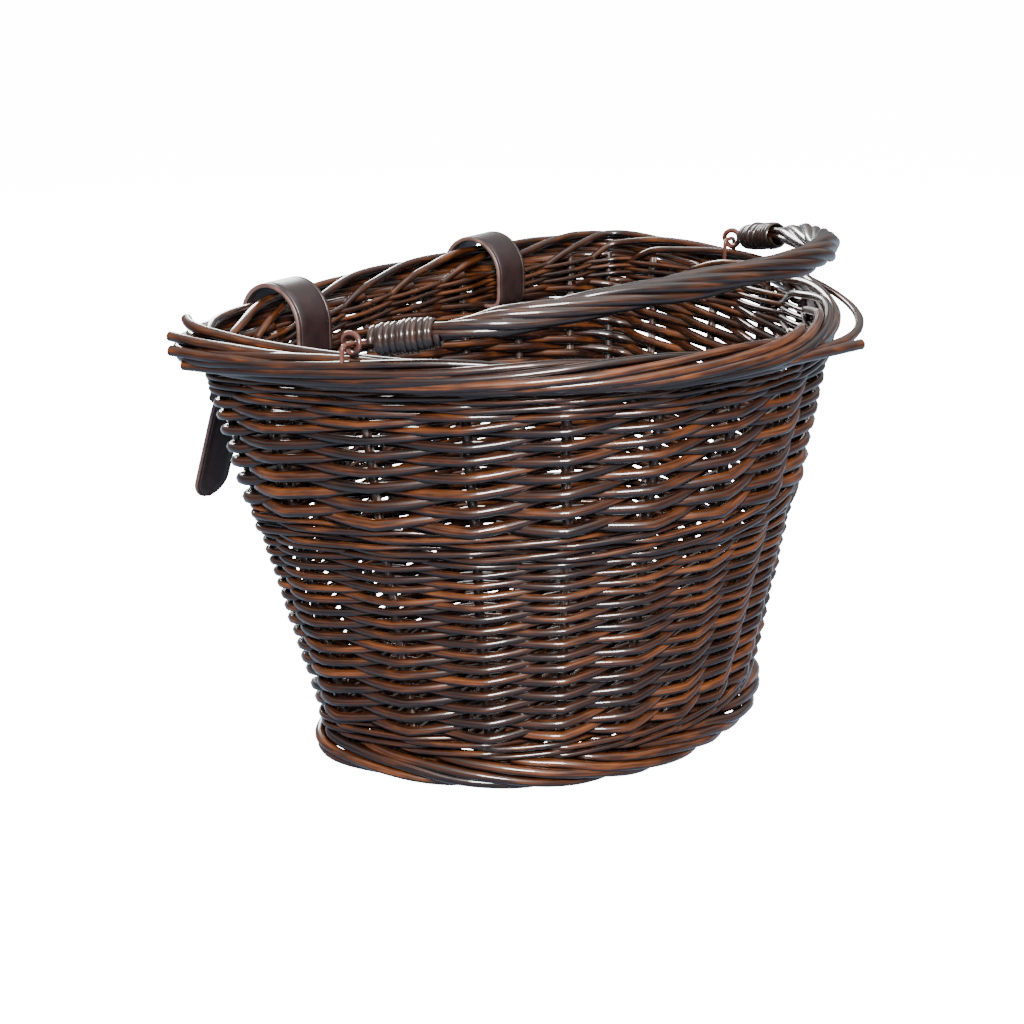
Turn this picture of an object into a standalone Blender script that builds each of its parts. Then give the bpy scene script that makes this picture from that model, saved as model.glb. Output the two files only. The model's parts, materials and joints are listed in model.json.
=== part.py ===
"""Willow handlebar basket: D-shaped wicker body, folding twisted handle, two buckled leather straps.

Metres, +Z up. The origin is on the ground under the back of the foot, on the mirror plane X = 0.
+X is the rider's right, -Y is the front of the basket and +Y is the side of the handlebar.
"""
import math

import bmesh
import bpy
import numpy as np
from mathutils import Matrix, Vector

# Rim outline, measured on the outside of the weave: straight back, superellipse front.
RIM_HALF_WIDTH = 0.200
RIM_DEPTH = 0.2713
RIM_POWER = 1.89
RIM_BOW = 0.0365

# Base outline, smaller and nearly oval, set forward of the rim's back line.
BASE_HALF_WIDTH = 0.1512
BASE_DEPTH = 0.166
BASE_POWER = 2.09
BASE_BOW = 0.0521
BASE_SETBACK = -0.0504

# Heights of the woven bands, bottom to top, at the back of the basket.
FOOT_TOP = 0.0185
UPSETT_TOP = 0.029
LOWER_RAND_TOP = 0.139
MIDDLE_WALE_TOP = 0.154
UPPER_RAND_TOP = 0.222
WALL_TOP = 0.2313
BORDER_HALF_HEIGHT = 0.0095
BORDER_HALF_WIDTH = 0.011
RIM_TOP = WALL_TOP + 2 * BORDER_HALF_HEIGHT
NOSE_RISE = 0.0055

WALL_THICKNESS = 0.013
WALL_INSET = 0.0075
FOOT_OUTSET = 0.005
FOOT_WIDTH = 0.025
FOOT_EDGE_RADIUS = 0.004
CORNER_PASSES = 14
OUTLINE_POINTS = 300
RING_POINTS = 60
GAP = 0.0003

# Stakes, spaced by fractions of the way round the outline.
STAKE_RADIUS = 0.003
STAKE_END_CLEARANCE = 0.002
FRONT_STAKE_STEP = 0.0385
FRONT_STAKE_GROWTH = 0.0015
BACK_STAKE_STEP = 0.0425
CORNER_STAKE = 0.1785

BASE_MAT_THICKNESS = 0.010
BASE_MAT_CLEARANCE = 0.003
BASE_STICK_XS = (-0.10, -0.05, 0.0, 0.05, 0.10)

# Handle: a twisted bow that swings on two rings hung on rod staples in the border.
PIVOT_X = 0.182
PIVOT_Y = -0.1086
PIVOT_RISE = 0.0068
HANDLE_REACH = 0.162
HANDLE_REST_DEG = 12.0
HANDLE_SPREAD = 1.667
HANDLE_ARCH = 1.081
HANDLE_POINTS = 400
HANDLE_ROUNDING_PASSES = 400
HANDLE_RADIUS = 0.0088
HANDLE_END_RADIUS = 0.0060
RING_MEAN_RADIUS = 0.0052
RING_WIRE_RADIUS = 0.0016
SHANK_RADIUS = 0.0021
RING_LEAD = 0.0018
STAPLE_WIRE_RADIUS = 0.0013
STAPLE_HALF_WIDTH = 0.0055
STAPLE_CORNER = 0.0015
BOUND_END_REACH = 0.0165
WHIPPING_LENGTH = 0.036
WHIPPING_RADIUS = 0.0090
WHIPPING_BARREL = 0.1
WHIPPING_OVERHANG = 0.004
WHIPPING_BORE_GAP = 0.0008
HANDLE_SWELL_LENGTH = 0.03

# Straps and buckles, laid out in the YZ plane at X = +/-STRAP_X.
STRAP_X = 0.0925
STRAP_WIDTH = 0.028
STRAP_THICKNESS = 0.003
SEAT_TOP = Vector((0.0, 0.046, 0.236))
SEAT_END = Vector((0.0, 0.055, 0.216))
TAIL_HINGE = Vector((0.0, 0.076, 0.174))
TAIL_TIP = Vector((0.0, 0.098, 0.113))
TAIL_CLEARANCE = 0.002
WEAVE_SLOT = Vector((STRAP_WIDTH + 0.0016, 0.04, 0.0085))
WEAVE_SLOT_Y = 0.015
WEAVE_SLOT_Z = 0.2155
INNER_RUN_Y = 0.0012
INNER_BEND = 0.006
CREST_Z = 0.2578
CREST_BASE_Z = 0.235
FIRST_HOLE = 0.005
HOLE_RADIUS = 0.0022
HOLE_SPACING = 0.010
HOLE_COUNT = 2
BUCKLE_WIRE_RADIUS = 0.0013
BUCKLE_HALF_WIDTH = 0.0168
NOSE_BAR_ALONG = 0.006
HEEL_BAR_ALONG = 0.024
HEEL_BAR_OUT = -0.006
NOSE_BAR_OUT = 0.0045
BUCKLE_CORNER = 0.002
KEEPER_ALONG = 0.0350
KEEPER_HEIGHT = 0.008
KEEPER_WALL = 0.002
KEEPER_PLAY = 0.0008
PRONG_RADIUS = 0.0012
PRONG_PIN_RADIUS = 0.0011
PRONG_OVERHANG = 0.003
PRONG_SLOT_WIDTH = 0.0046
FOLD_SLOT = Vector((PRONG_SLOT_WIDTH, 0.0092, 0.011))
PRONG_HOLE = Vector((PRONG_SLOT_WIDTH, 0.005, 0.0195))
PRONG_HOLE_ALONG = HEEL_BAR_ALONG - 0.0062

COLLECTION_NAME = "handlebar_basket"
SHARP_ANGLE = math.radians(35.0)
WELD_DISTANCE = 0.00002


# ---------------------------------------------------------------- scene helpers

def clear_scene():
    """Remove every object and leave the file open."""
    for obj in list(bpy.data.objects):
        bpy.data.objects.remove(obj, do_unlink=True)


def new_collection(name):
    """Make a collection under the scene."""
    collection = bpy.data.collections.new(name)
    bpy.context.scene.collection.children.link(collection)
    return collection


def new_material(name, colour, roughness, metallic=0.0):
    """Make a Principled material."""
    material = bpy.data.materials.new(name)
    material.use_nodes = True
    shader = material.node_tree.nodes["Principled BSDF"]
    shader.inputs["Base Color"].default_value = (*colour, 1.0)
    shader.inputs["Roughness"].default_value = roughness
    shader.inputs["Metallic"].default_value = metallic
    return material


def add_object(name, data, material=None, parent=None):
    """Put new data into the parts collection as an object."""
    obj = bpy.data.objects.new(name, data)
    PARTS.objects.link(obj)
    if material is not None:
        data.materials.append(material)
    obj.parent = parent
    return obj


def add_empty(name, location):
    """Make an empty that marks a joint axis."""
    empty = bpy.data.objects.new(name, None)
    empty.location = location
    empty.empty_display_size = 0.02
    PARTS.objects.link(empty)
    return empty


def make_cutter(obj):
    """Move an object to the cutters collection and keep it out of the model."""
    for collection in list(obj.users_collection):
        collection.objects.unlink(obj)
    CUTTERS.objects.link(obj)
    obj.hide_render = True
    obj.display_type = "WIRE"
    return obj


def combine(obj, other, operation):
    """Subtract another mesh from an object, or join it on."""
    modifier = obj.modifiers.new(other.name, "BOOLEAN")
    modifier.operation = operation
    modifier.solver = "EXACT"
    modifier.object = other


def finish_mesh(builder, mesh):
    """Write a bmesh into its mesh, facing outwards and shaded smooth except at sharp edges."""
    bmesh.ops.recalc_face_normals(builder, faces=builder.faces)
    builder.to_mesh(mesh)
    builder.free()
    mesh.shade_smooth()
    mesh.set_sharp_from_angle(angle=SHARP_ANGLE)


def curve_to_mesh(obj, material=None):
    """Replace a curve object by its welded mesh, in the same place."""
    bpy.context.view_layer.update()
    depsgraph = bpy.context.evaluated_depsgraph_get()
    mesh = bpy.data.meshes.new_from_object(obj.evaluated_get(depsgraph))
    matrix = obj.matrix_world.copy()
    name = obj.name
    bpy.data.objects.remove(obj, do_unlink=True)
    weld = bmesh.new()
    weld.from_mesh(mesh)
    bmesh.ops.remove_doubles(weld, verts=weld.verts, dist=WELD_DISTANCE)
    finish_mesh(weld, mesh)
    mesh.materials.clear()
    result = add_object(name, mesh, material)
    result.matrix_world = matrix
    return result


def tube(name, points, radius, material=None, radii=None, cyclic=False, resolution=1, parent=None):
    """Make a round rod through the points, with filled ends; radii scale it point by point."""
    curve = bpy.data.curves.new(name, "CURVE")
    curve.dimensions = "3D"
    curve.bevel_depth = radius
    curve.bevel_resolution = resolution
    curve.use_fill_caps = not cyclic
    spline = curve.splines.new("POLY")
    spline.points.add(len(points) - 1)
    for index, point in enumerate(points):
        spline.points[index].co = (*point, 1.0)
        if radii is not None:
            spline.points[index].radius = radii[index]
    spline.use_cyclic_u = cyclic
    return add_object(name, curve, material, parent)


def flat_shape(name, outlines, thickness, material):
    """Make a flat plate from closed 2D outlines; inner outlines become holes."""
    curve = bpy.data.curves.new(name, "CURVE")
    curve.dimensions = "2D"
    curve.fill_mode = "BOTH"
    curve.extrude = thickness / 2
    for loop in outlines:
        spline = curve.splines.new("POLY")
        spline.points.add(len(loop) - 1)
        for index, point in enumerate(loop):
            spline.points[index].co = (point[0], point[1], 0.0, 1.0)
        spline.use_cyclic_u = True
    return curve_to_mesh(add_object(name, curve), material)


def box_cutter(name, size, location, tilt=0.0):
    """Make a box from its full size and keep it as a cutter; the tilt turns it about X."""
    mesh = bpy.data.meshes.new(name)
    builder = bmesh.new()
    bmesh.ops.create_cube(builder, size=1.0, matrix=Matrix.Diagonal((*size, 1.0)))
    builder.to_mesh(mesh)
    builder.free()
    obj = add_object(name, mesh)
    obj.location = location
    obj.rotation_euler.x = tilt
    return make_cutter(obj)


# ---------------------------------------------------------------- lines

def arc(centre, first, second, degrees):
    """Return points of an ellipse round a centre; the half-axes point to 0 and to 90 degrees."""
    points = []
    for angle in np.radians(degrees):
        points.append(centre + first * math.cos(angle) + second * math.sin(angle))
    return points


def cut_corners(corners, amount):
    """Return a closed line through the corners, each of them cut off."""
    line = []
    for before, corner, after in zip(corners[-1:] + corners[:-1], corners, corners[1:] + corners[:1]):
        line.append(corner + (before - corner).normalized() * amount)
        line.append(corner + (after - corner).normalized() * amount)
    return line


def even_points(line, count, closed):
    """Return evenly spaced points along a plane line; a closed line already repeats its first point."""
    steps = np.linalg.norm(np.diff(line, axis=0), axis=1)
    travelled = np.append(0.0, np.cumsum(steps))
    wanted = np.linspace(0.0, travelled[-1], count, endpoint=not closed)
    return np.column_stack([np.interp(wanted, travelled, line[:, axis]) for axis in (0, 1)])


def averaged(line, passes, closed):
    """Return a line rounded by repeated averaging of neighbours; open ends stay where they are."""
    ends = line[[0, -1]].copy()
    for _ in range(passes):
        line = (np.roll(line, 1, axis=0) + 2 * line + np.roll(line, -1, axis=0)) / 4
        if not closed:
            line[[0, -1]] = ends
    return line


# ---------------------------------------------------------------- basket surface

def outline(height, offset):
    """Return the closed plan outline at a height, starting at the nose and going to the left.

    A positive offset moves it outwards. The front is a superellipse and the back a shallow bow.
    """
    share = height / RIM_TOP
    half_width = BASE_HALF_WIDTH + (RIM_HALF_WIDTH - BASE_HALF_WIDTH) * share + offset
    depth = BASE_DEPTH + (RIM_DEPTH - BASE_DEPTH) * share + 2 * offset
    power = BASE_POWER + (RIM_POWER - BASE_POWER) * share
    bow = BASE_BOW + (RIM_BOW - BASE_BOW) * share
    back_y = BASE_SETBACK * (1 - share) + offset
    angle = np.linspace(0.0, math.pi / 2, 100)
    side_x = half_width * np.sin(angle) ** (2 / power)
    side_y = back_y - depth * np.cos(angle) ** (2 / power)
    back_x = np.linspace(-half_width, half_width, 61)[1:-1]
    back_curve = back_y + bow * (1 - (back_x / half_width) ** 2)
    loop = np.column_stack((np.concatenate((-side_x, back_x, side_x[::-1])),
                            np.concatenate((side_y, back_curve, side_y[::-1]))))
    return averaged(even_points(loop, OUTLINE_POINTS, True), CORNER_PASSES, True)


def coarse_outline(height, offset):
    """Return the outline with only as many points as the rings of the body have."""
    return outline(height, offset)[::OUTLINE_POINTS // RING_POINTS]


def lift(height, y):
    """Return the true height of a level line, which rises towards the nose of the rim."""
    forward = min(max(-y / RIM_DEPTH, 0.0), 1.1)
    return height + (height / RIM_TOP) ** 2 * NOSE_RISE * forward ** 2


def wall_point(fraction, height, offset):
    """Return the point at a fraction of the way round the wall, at a height."""
    loop = outline(height, offset)
    place = (fraction % 1.0) * OUTLINE_POINTS
    low = int(place) % OUTLINE_POINTS
    high = (low + 1) % OUTLINE_POINTS
    blend = place - int(place)
    x, y = loop[low] * (1 - blend) + loop[high] * blend
    return Vector((x, y, lift(height, y)))


def stake_fractions():
    """Return the stakes' places round the wall, from the nose: the closest ones stand at the nose."""
    fractions = [0.0]
    for step in range(1, 7):
        away = FRONT_STAKE_STEP * step + FRONT_STAKE_GROWTH * step * step
        fractions += [away, 1.0 - away]
    for step in range(4):
        away = BACK_STAKE_STEP * (step + 0.5)
        fractions += [0.5 - away, 0.5 + away]
    fractions += [0.5 - CORNER_STAKE, 0.5 + CORNER_STAKE]
    return sorted(fractions)


# ---------------------------------------------------------------- woven body

def lofted_ring(name, sections, material):
    """Make a ring round the basket, lofted through a closed section of (height, offset) pairs."""
    mesh = bpy.data.meshes.new(name)
    builder = bmesh.new()
    rings = []
    for height, offset in sections:
        ring = []
        for x, y in coarse_outline(height, offset):
            ring.append(builder.verts.new((x, y, lift(height, y))))
        rings.append(ring)
    for ring, after in zip(rings, rings[1:] + rings[:1]):
        for index in range(RING_POINTS):
            nearby = (index + 1) % RING_POINTS
            builder.faces.new((ring[index], ring[nearby], after[nearby], after[index]))
    finish_mesh(builder, mesh)
    return add_object(name, mesh, material)


def woven_band(name, bottom, top, material, cutters):
    """Make one woven band of the wall between two heights."""
    outer = -WALL_INSET + WALL_THICKNESS / 2
    inner = -WALL_INSET - WALL_THICKNESS / 2
    low = bottom + GAP / 2
    high = top - GAP / 2
    band = lofted_ring(name, ((low, outer), (high, outer), (high, inner), (low, inner)), material)
    for cutter in cutters:
        combine(band, cutter, "DIFFERENCE")


def make_rim_border(material):
    """Make the thick rolled border of the rim, with an oval section."""
    centre = Vector((0.0, WALL_TOP + BORDER_HALF_HEIGHT))
    wide = Vector((BORDER_HALF_WIDTH, 0.0))
    high = Vector((0.0, BORDER_HALF_HEIGHT - GAP))
    section = arc(centre, wide, high, range(0, 360, 30))
    lofted_ring("rim_border", [(point.y, point.x) for point in section], material)


def make_foot_border(material):
    """Make the border that the basket stands on, a flat ring with rounded edges."""
    loops = [coarse_outline(0.0, FOOT_OUTSET), coarse_outline(0.0, FOOT_OUTSET - FOOT_WIDTH)]
    foot = flat_shape("foot_border", loops, FOOT_TOP, material)
    foot.location.z = FOOT_TOP / 2
    bevel = foot.modifiers.new("rounded_edges", "BEVEL")
    bevel.width = FOOT_EDGE_RADIUS
    bevel.segments = 2
    bevel.limit_method = "ANGLE"
    bevel.angle_limit = math.radians(60)


def stake_line(fraction, extension=0.0):
    """Return the two ends of a straight stake in the middle of the wall."""
    low = wall_point(fraction, FOOT_TOP + STAKE_END_CLEARANCE, -WALL_INSET)
    high = wall_point(fraction, WALL_TOP - STAKE_END_CLEARANCE, -WALL_INSET)
    along = (high - low).normalized() * extension
    return [low - along, high + along]


def make_stakes(material):
    """Make the upright rods, from the foot border to the rim border."""
    for number, fraction in enumerate(stake_fractions(), start=1):
        tube(f"stake_{number:02d}", stake_line(fraction), STAKE_RADIUS, material)


def make_stake_channels():
    """Make one cutter that holds a channel for every stake."""
    curve = bpy.data.curves.new("stake_channels", "CURVE")
    curve.dimensions = "3D"
    curve.bevel_depth = STAKE_RADIUS + GAP
    curve.bevel_resolution = 1
    curve.use_fill_caps = True
    for fraction in stake_fractions():
        spline = curve.splines.new("POLY")
        spline.points.add(1)
        for index, point in enumerate(stake_line(fraction, extension=2 * STAKE_RADIUS)):
            spline.points[index].co = (*point, 1.0)
    return make_cutter(curve_to_mesh(add_object("stake_channels", curve)))


def make_weave_slots():
    """Make the cutters for the gaps in the weave that the straps pass through."""
    slots = []
    for side in (-1, 1):
        place = (side * STRAP_X, WEAVE_SLOT_Y, WEAVE_SLOT_Z)
        slots.append(box_cutter(f"weave_slot_{side_name(side)}", WEAVE_SLOT, place))
    return slots


def base_half_depth(x, offset):
    """Return the back and front Y of the base outline beside a stick at an X."""
    loop = outline(FOOT_TOP, offset)
    reach = abs(x) + STAKE_RADIUS
    near = loop[np.abs(np.abs(loop[:, 0]) - reach) < 0.004]
    middle_y = loop[:, 1].mean()
    return near[near[:, 1] > middle_y, 1].min(), near[near[:, 1] < middle_y, 1].max()


def make_base(weave, willow):
    """Make the woven base and the sticks that it is woven on."""
    edge = -WALL_INSET - WALL_THICKNESS / 2 - BASE_MAT_CLEARANCE
    middle = FOOT_TOP + GAP + BASE_MAT_THICKNESS / 2
    mat = flat_shape("base_weave", [coarse_outline(FOOT_TOP, edge)], BASE_MAT_THICKNESS, weave)
    mat.location.z = middle
    for number, x in enumerate(BASE_STICK_XS, start=1):
        back, front = base_half_depth(x, edge)
        ends = [Vector((x, front + STAKE_END_CLEARANCE, middle)),
                Vector((x, back - STAKE_END_CLEARANCE, middle))]
        tube(f"base_stick_{number}", ends, STAKE_RADIUS, willow)
        beyond = Vector((0.0, FOOT_WIDTH, 0.0))
        channel = tube(f"base_channel_{number}", [ends[0] - beyond, ends[1] + beyond], STAKE_RADIUS + GAP)
        combine(mat, make_cutter(curve_to_mesh(channel)), "DIFFERENCE")


def make_body(willow, weave):
    """Make the wicker body."""
    channels = make_stake_channels()
    slots = make_weave_slots()
    make_stakes(willow)
    woven_band("upsett_wale", FOOT_TOP, UPSETT_TOP, weave, [channels])
    woven_band("lower_rand", UPSETT_TOP, LOWER_RAND_TOP, weave, [channels])
    woven_band("middle_wale", LOWER_RAND_TOP, MIDDLE_WALE_TOP, weave, [channels])
    woven_band("upper_rand", MIDDLE_WALE_TOP, UPPER_RAND_TOP, weave, [channels, *slots])
    woven_band("top_wale", UPPER_RAND_TOP, WALL_TOP, weave, [channels])
    make_rim_border(weave)
    make_foot_border(weave)
    make_base(weave, willow)


# ---------------------------------------------------------------- handle

def pivot_height():
    """Return the height of the handle's swing axis."""
    return lift(RIM_TOP, PIVOT_Y) + PIVOT_RISE


def handle_span():
    """Return the bow's centre line in its own plane: X across, -Y away from the swing axis.

    The two bound ends are straight; the arch between them is rounded at its tip.
    """
    angle = np.linspace(0.0, math.pi, HANDLE_POINTS)
    x = PIVOT_X * np.sign(np.cos(angle)) * np.abs(np.cos(angle)) ** HANDLE_SPREAD
    y = -HANDLE_REACH * np.sin(angle) ** HANDLE_ARCH
    line = even_points(np.column_stack((x, y)), HANDLE_POINTS, False)
    line = averaged(line, HANDLE_ROUNDING_PASSES, False)
    points = [Vector((*point, 0.0)) for point in line if -point[1] >= BOUND_END_REACH]
    ends = (points[0], points[-1])
    free = [point for point in points
            if min((point - end).length for end in ends) > WHIPPING_LENGTH]
    return [ends[0], *free[::12], free[-1], ends[1]]


def make_bow(material, parent):
    """Make the twisted bow as one rod that is thinner where it is bound."""
    line = handle_span()
    thin = HANDLE_END_RADIUS / HANDLE_RADIUS
    radii = []
    for point in line:
        away = min((point - end).length for end in (line[0], line[-1]))
        grown = min(max((away - WHIPPING_LENGTH) / HANDLE_SWELL_LENGTH, 0.0), 1.0)
        radii.append(thin + (1.0 - thin) * grown)
    tube("handle_bow", line, HANDLE_RADIUS, material, radii=radii, resolution=2, parent=parent)


def bound_end(side):
    """Return one end of the bow and its direction away from the swing axis."""
    line = handle_span()
    near, after = (line[0], line[1]) if side > 0 else (line[-1], line[-2])
    return near, (after - near).normalized()


def make_whipping(side, material, parent):
    """Make the binding round one end of the bow, as a turned barrel with a bore."""
    name = f"handle_whipping_{side_name(side)}"
    bore = HANDLE_END_RADIUS + WHIPPING_BORE_GAP
    mesh = bpy.data.meshes.new(name)
    builder = bmesh.new()
    verts = [builder.verts.new((bore, 0.0, 0.0)), builder.verts.new((bore, 0.0, WHIPPING_LENGTH))]
    for share in np.linspace(1.0, 0.0, 5):
        radius = WHIPPING_RADIUS * (1.0 - WHIPPING_BARREL * (2 * share - 1) ** 2)
        verts.append(builder.verts.new((radius, 0.0, share * WHIPPING_LENGTH)))
    for vert, after in zip(verts, verts[1:] + verts[:1]):
        builder.edges.new((vert, after))
    builder.to_mesh(mesh)
    builder.free()
    obj = add_object(name, mesh, material, parent)
    screw = obj.modifiers.new("turned", "SCREW")
    screw.steps = 16
    screw.render_steps = 16
    screw.use_merge_vertices = True
    screw.merge_threshold = WELD_DISTANCE
    near, direction = bound_end(side)
    obj.location = near - direction * WHIPPING_OVERHANG
    obj.rotation_euler = direction.to_track_quat("Z", "X").to_euler()


def make_handle_ring(side, material, parent):
    """Make the ring at the end of the bow; its shank reaches into the whipping."""
    name = f"handle_ring_{side_name(side)}"
    centre = Vector((side * PIVOT_X, -RING_LEAD, 0.0))
    forward = Vector((0.0, -RING_MEAN_RADIUS, 0.0))
    up = Vector((0.0, 0.0, RING_MEAN_RADIUS))
    line = arc(centre, forward, up, np.arange(0.0, 360.0, 22.5))
    ring = curve_to_mesh(tube(name, line, RING_WIRE_RADIUS, cyclic=True, resolution=2), material)
    near, direction = bound_end(side)
    shank = tube(name + "_shank", [centre + forward, near - direction * 0.001],
                 SHANK_RADIUS, resolution=2)
    shank = make_cutter(curve_to_mesh(shank))
    combine(ring, shank, "UNION")
    ring.parent = parent
    shank.parent = parent


def make_staple(side, material):
    """Make the rod staple in the border that the ring hangs on."""
    bar = pivot_height()
    foot = lift(RIM_TOP, PIVOT_Y) + GAP
    middle = side * PIVOT_X
    line = [Vector((middle - STAPLE_HALF_WIDTH, PIVOT_Y, foot))]
    for turn, degrees in ((-1, (180, 135, 90)), (1, (90, 45, 0))):
        inner = STAPLE_HALF_WIDTH - STAPLE_CORNER
        corner = Vector((middle + turn * inner, PIVOT_Y, bar - STAPLE_CORNER))
        line += arc(corner, Vector((STAPLE_CORNER, 0, 0)), Vector((0, 0, STAPLE_CORNER)), degrees)
    line.append(Vector((middle + STAPLE_HALF_WIDTH, PIVOT_Y, foot)))
    tube(f"staple_{side_name(side)}", line, STAPLE_WIRE_RADIUS, material)


def make_handle(willow, binding):
    """Make the bow, its two bound ends, its rings and the staples that they hang on."""
    axle = add_empty("handle_axis", (0.0, PIVOT_Y, pivot_height()))
    axle.rotation_euler.x = -math.radians(HANDLE_REST_DEG)
    make_bow(willow, axle)
    for side in (-1, 1):
        make_whipping(side, binding, axle)
        make_handle_ring(side, willow, axle)
        make_staple(side, willow)


# ---------------------------------------------------------------- straps and buckles

def side_name(side):
    """Name a side as the rider sees it."""
    return "left" if side < 0 else "right"


def run_direction():
    """Return the direction down the strap's outer run."""
    return (TAIL_HINGE - SEAT_END).normalized()


def run_tilt():
    """Return the turn about X that lays a piece along the strap's outer run."""
    down = run_direction()
    return math.atan2(down.y, -down.z)


def run_point(along, outwards):
    """Return a place on the strap's outer run: distance down it and distance out from its middle."""
    down = run_direction()
    out = Vector((0.0, -down.z, down.y))
    return SEAT_END + down * along + out * outwards


def strap_path():
    """Return the strap's centre line: from the buckle, through the weave, over the rim, down the back."""
    up = Vector((0.0, 0.0, 1.0))
    back = Vector((0.0, 1.0, 0.0))
    heel = run_point(HEEL_BAR_ALONG, HEEL_BAR_OUT)
    curl = BUCKLE_WIRE_RADIUS + GAP + STRAP_THICKNESS / 2
    path = arc(heel, back * curl, up * curl, (-15, -55, -95, -135, -170))
    path += [Vector((0.0, 0.054, 0.2085)), Vector((0.0, 0.040, 0.2142))]
    path.append(Vector((0.0, 0.028, WEAVE_SLOT_Z)))
    bend = Vector((0.0, INNER_RUN_Y + INNER_BEND, WEAVE_SLOT_Z + INNER_BEND))
    path += arc(bend, back * INNER_BEND, up * INNER_BEND, (-90, -120, -150, -180))
    half_loop = (SEAT_TOP.y - INNER_RUN_Y) / 2
    crest = Vector((0.0, INNER_RUN_Y + half_loop, CREST_BASE_Z))
    path += arc(crest, back * half_loop, up * (CREST_Z - CREST_BASE_Z), range(180, 14, -15))
    path += [SEAT_TOP, SEAT_END]
    path.append(run_point((TAIL_HINGE - SEAT_END).length - TAIL_CLEARANCE, 0.0))
    return path


def make_strap(side, leather):
    """Make the fixed run of one strap as a ribbon with thickness."""
    name = f"strap_{side_name(side)}"
    mesh = bpy.data.meshes.new(name)
    builder = bmesh.new()
    rows = []
    for point in strap_path():
        half = Vector((STRAP_WIDTH / 2, 0.0, 0.0))
        rows.append([builder.verts.new(point - half), builder.verts.new(point + half)])
    for here, after in zip(rows, rows[1:]):
        builder.faces.new((here[0], here[1], after[1], after[0]))
    builder.to_mesh(mesh)
    builder.free()
    strap = add_object(name, mesh, leather)
    strap.location.x = side * STRAP_X
    solidify = strap.modifiers.new("thickness", "SOLIDIFY")
    solidify.thickness = STRAP_THICKNESS
    solidify.offset = 0.0
    solidify.use_even_offset = True
    for label, along, outwards, size in (("fold_slot", HEEL_BAR_ALONG, HEEL_BAR_OUT, FOLD_SLOT),
                                         ("prong_hole", PRONG_HOLE_ALONG, 0.0, PRONG_HOLE)):
        place = run_point(along, outwards) + Vector((side * STRAP_X, 0.0, 0.0))
        slot = box_cutter(f"{name}_{label}", size, place, run_tilt())
        combine(strap, slot, "DIFFERENCE")


def make_tail(side, leather):
    """Make the strap's free tail: a flat tongue with a round end and punched holes."""
    name = f"strap_tail_{side_name(side)}"
    down = TAIL_TIP - TAIL_HINGE
    half = STRAP_WIDTH / 2
    tip = Vector((0.0, half - down.length))
    tongue = [Vector((half, 0.0))]
    tongue += arc(tip, Vector((half, 0.0)), Vector((0.0, -half)), np.arange(0.0, 181.0, 22.5))
    tongue.append(Vector((-half, 0.0)))
    holes = []
    for number in range(HOLE_COUNT):
        middle = Vector((0.0, -FIRST_HOLE - HOLE_SPACING * number))
        holes.append(arc(middle, Vector((HOLE_RADIUS, 0.0)), Vector((0.0, HOLE_RADIUS)), range(0, 360, 36)))
    tail = flat_shape(name, [tongue, *holes], STRAP_THICKNESS, leather)
    tail.rotation_euler.x = math.pi / 2 + math.atan2(down.y, -down.z)
    tail.location = TAIL_HINGE + Vector((side * STRAP_X, 0.0, 0.0))


def make_buckle(side, steel):
    """Make the wire buckle frame and the prong, both turning on the heel bar."""
    label = side_name(side)
    heel = run_point(HEEL_BAR_ALONG, HEEL_BAR_OUT)
    reach = run_point(NOSE_BAR_ALONG, NOSE_BAR_OUT) - heel
    axis = add_empty(f"heel_bar_axis_{label}", heel + Vector((side * STRAP_X, 0.0, 0.0)))
    wide = Vector((BUCKLE_HALF_WIDTH, 0.0, 0.0))
    frame = cut_corners([-wide, reach - wide, reach + wide, wide], BUCKLE_CORNER)
    tube(f"buckle_frame_{label}", frame, BUCKLE_WIRE_RADIUS, steel, cyclic=True, parent=axis)
    ride = BUCKLE_WIRE_RADIUS + GAP + PRONG_RADIUS
    circle = arc(Vector(), Vector((0.0, ride, 0.0)), Vector((0.0, 0.0, ride)), range(0, 360, 30))
    prong = curve_to_mesh(tube(f"prong_{label}", circle, PRONG_RADIUS, cyclic=True), steel)
    forward = reach.normalized()
    out = Vector((0.0, forward.z, -forward.y))
    tip = reach + forward * PRONG_OVERHANG + out * ride
    pin = make_cutter(curve_to_mesh(tube(f"prong_pin_{label}", [forward * ride, tip], PRONG_PIN_RADIUS)))
    combine(prong, pin, "UNION")
    prong.parent = axis
    pin.parent = axis


def make_keeper(side, leather):
    """Make the leather loop that slides along the strap below the buckle."""
    corners = (Vector((-1.0, -1.0)), Vector((1.0, -1.0)), Vector((1.0, 1.0)), Vector((-1.0, 1.0)))
    inner = Vector((STRAP_WIDTH / 2, STRAP_THICKNESS / 2)) + Vector((KEEPER_PLAY, KEEPER_PLAY))
    outer = inner + Vector((KEEPER_WALL, KEEPER_WALL))
    loops = [[corner * size for corner in corners] for size in (outer, inner)]
    keeper = flat_shape(f"keeper_{side_name(side)}", loops, KEEPER_HEIGHT, leather)
    keeper.rotation_euler.x = run_tilt()
    keeper.location = run_point(KEEPER_ALONG, 0.0) + Vector((side * STRAP_X, 0.0, 0.0))


# ---------------------------------------------------------------- assembly

clear_scene()
PARTS = new_collection(COLLECTION_NAME)
CUTTERS = new_collection("cutters")
WILLOW = new_material("stained_willow", (0.085, 0.038, 0.018), 0.35)
WEAVE = new_material("willow_weave", (0.060, 0.027, 0.014), 0.35)
BINDING = new_material("split_willow_binding", (0.075, 0.035, 0.020), 0.45)
LEATHER = new_material("brown_leather", (0.045, 0.022, 0.018), 0.45)
STEEL = new_material("nickel_plated_steel", (0.62, 0.60, 0.57), 0.28, 1.0)

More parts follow.
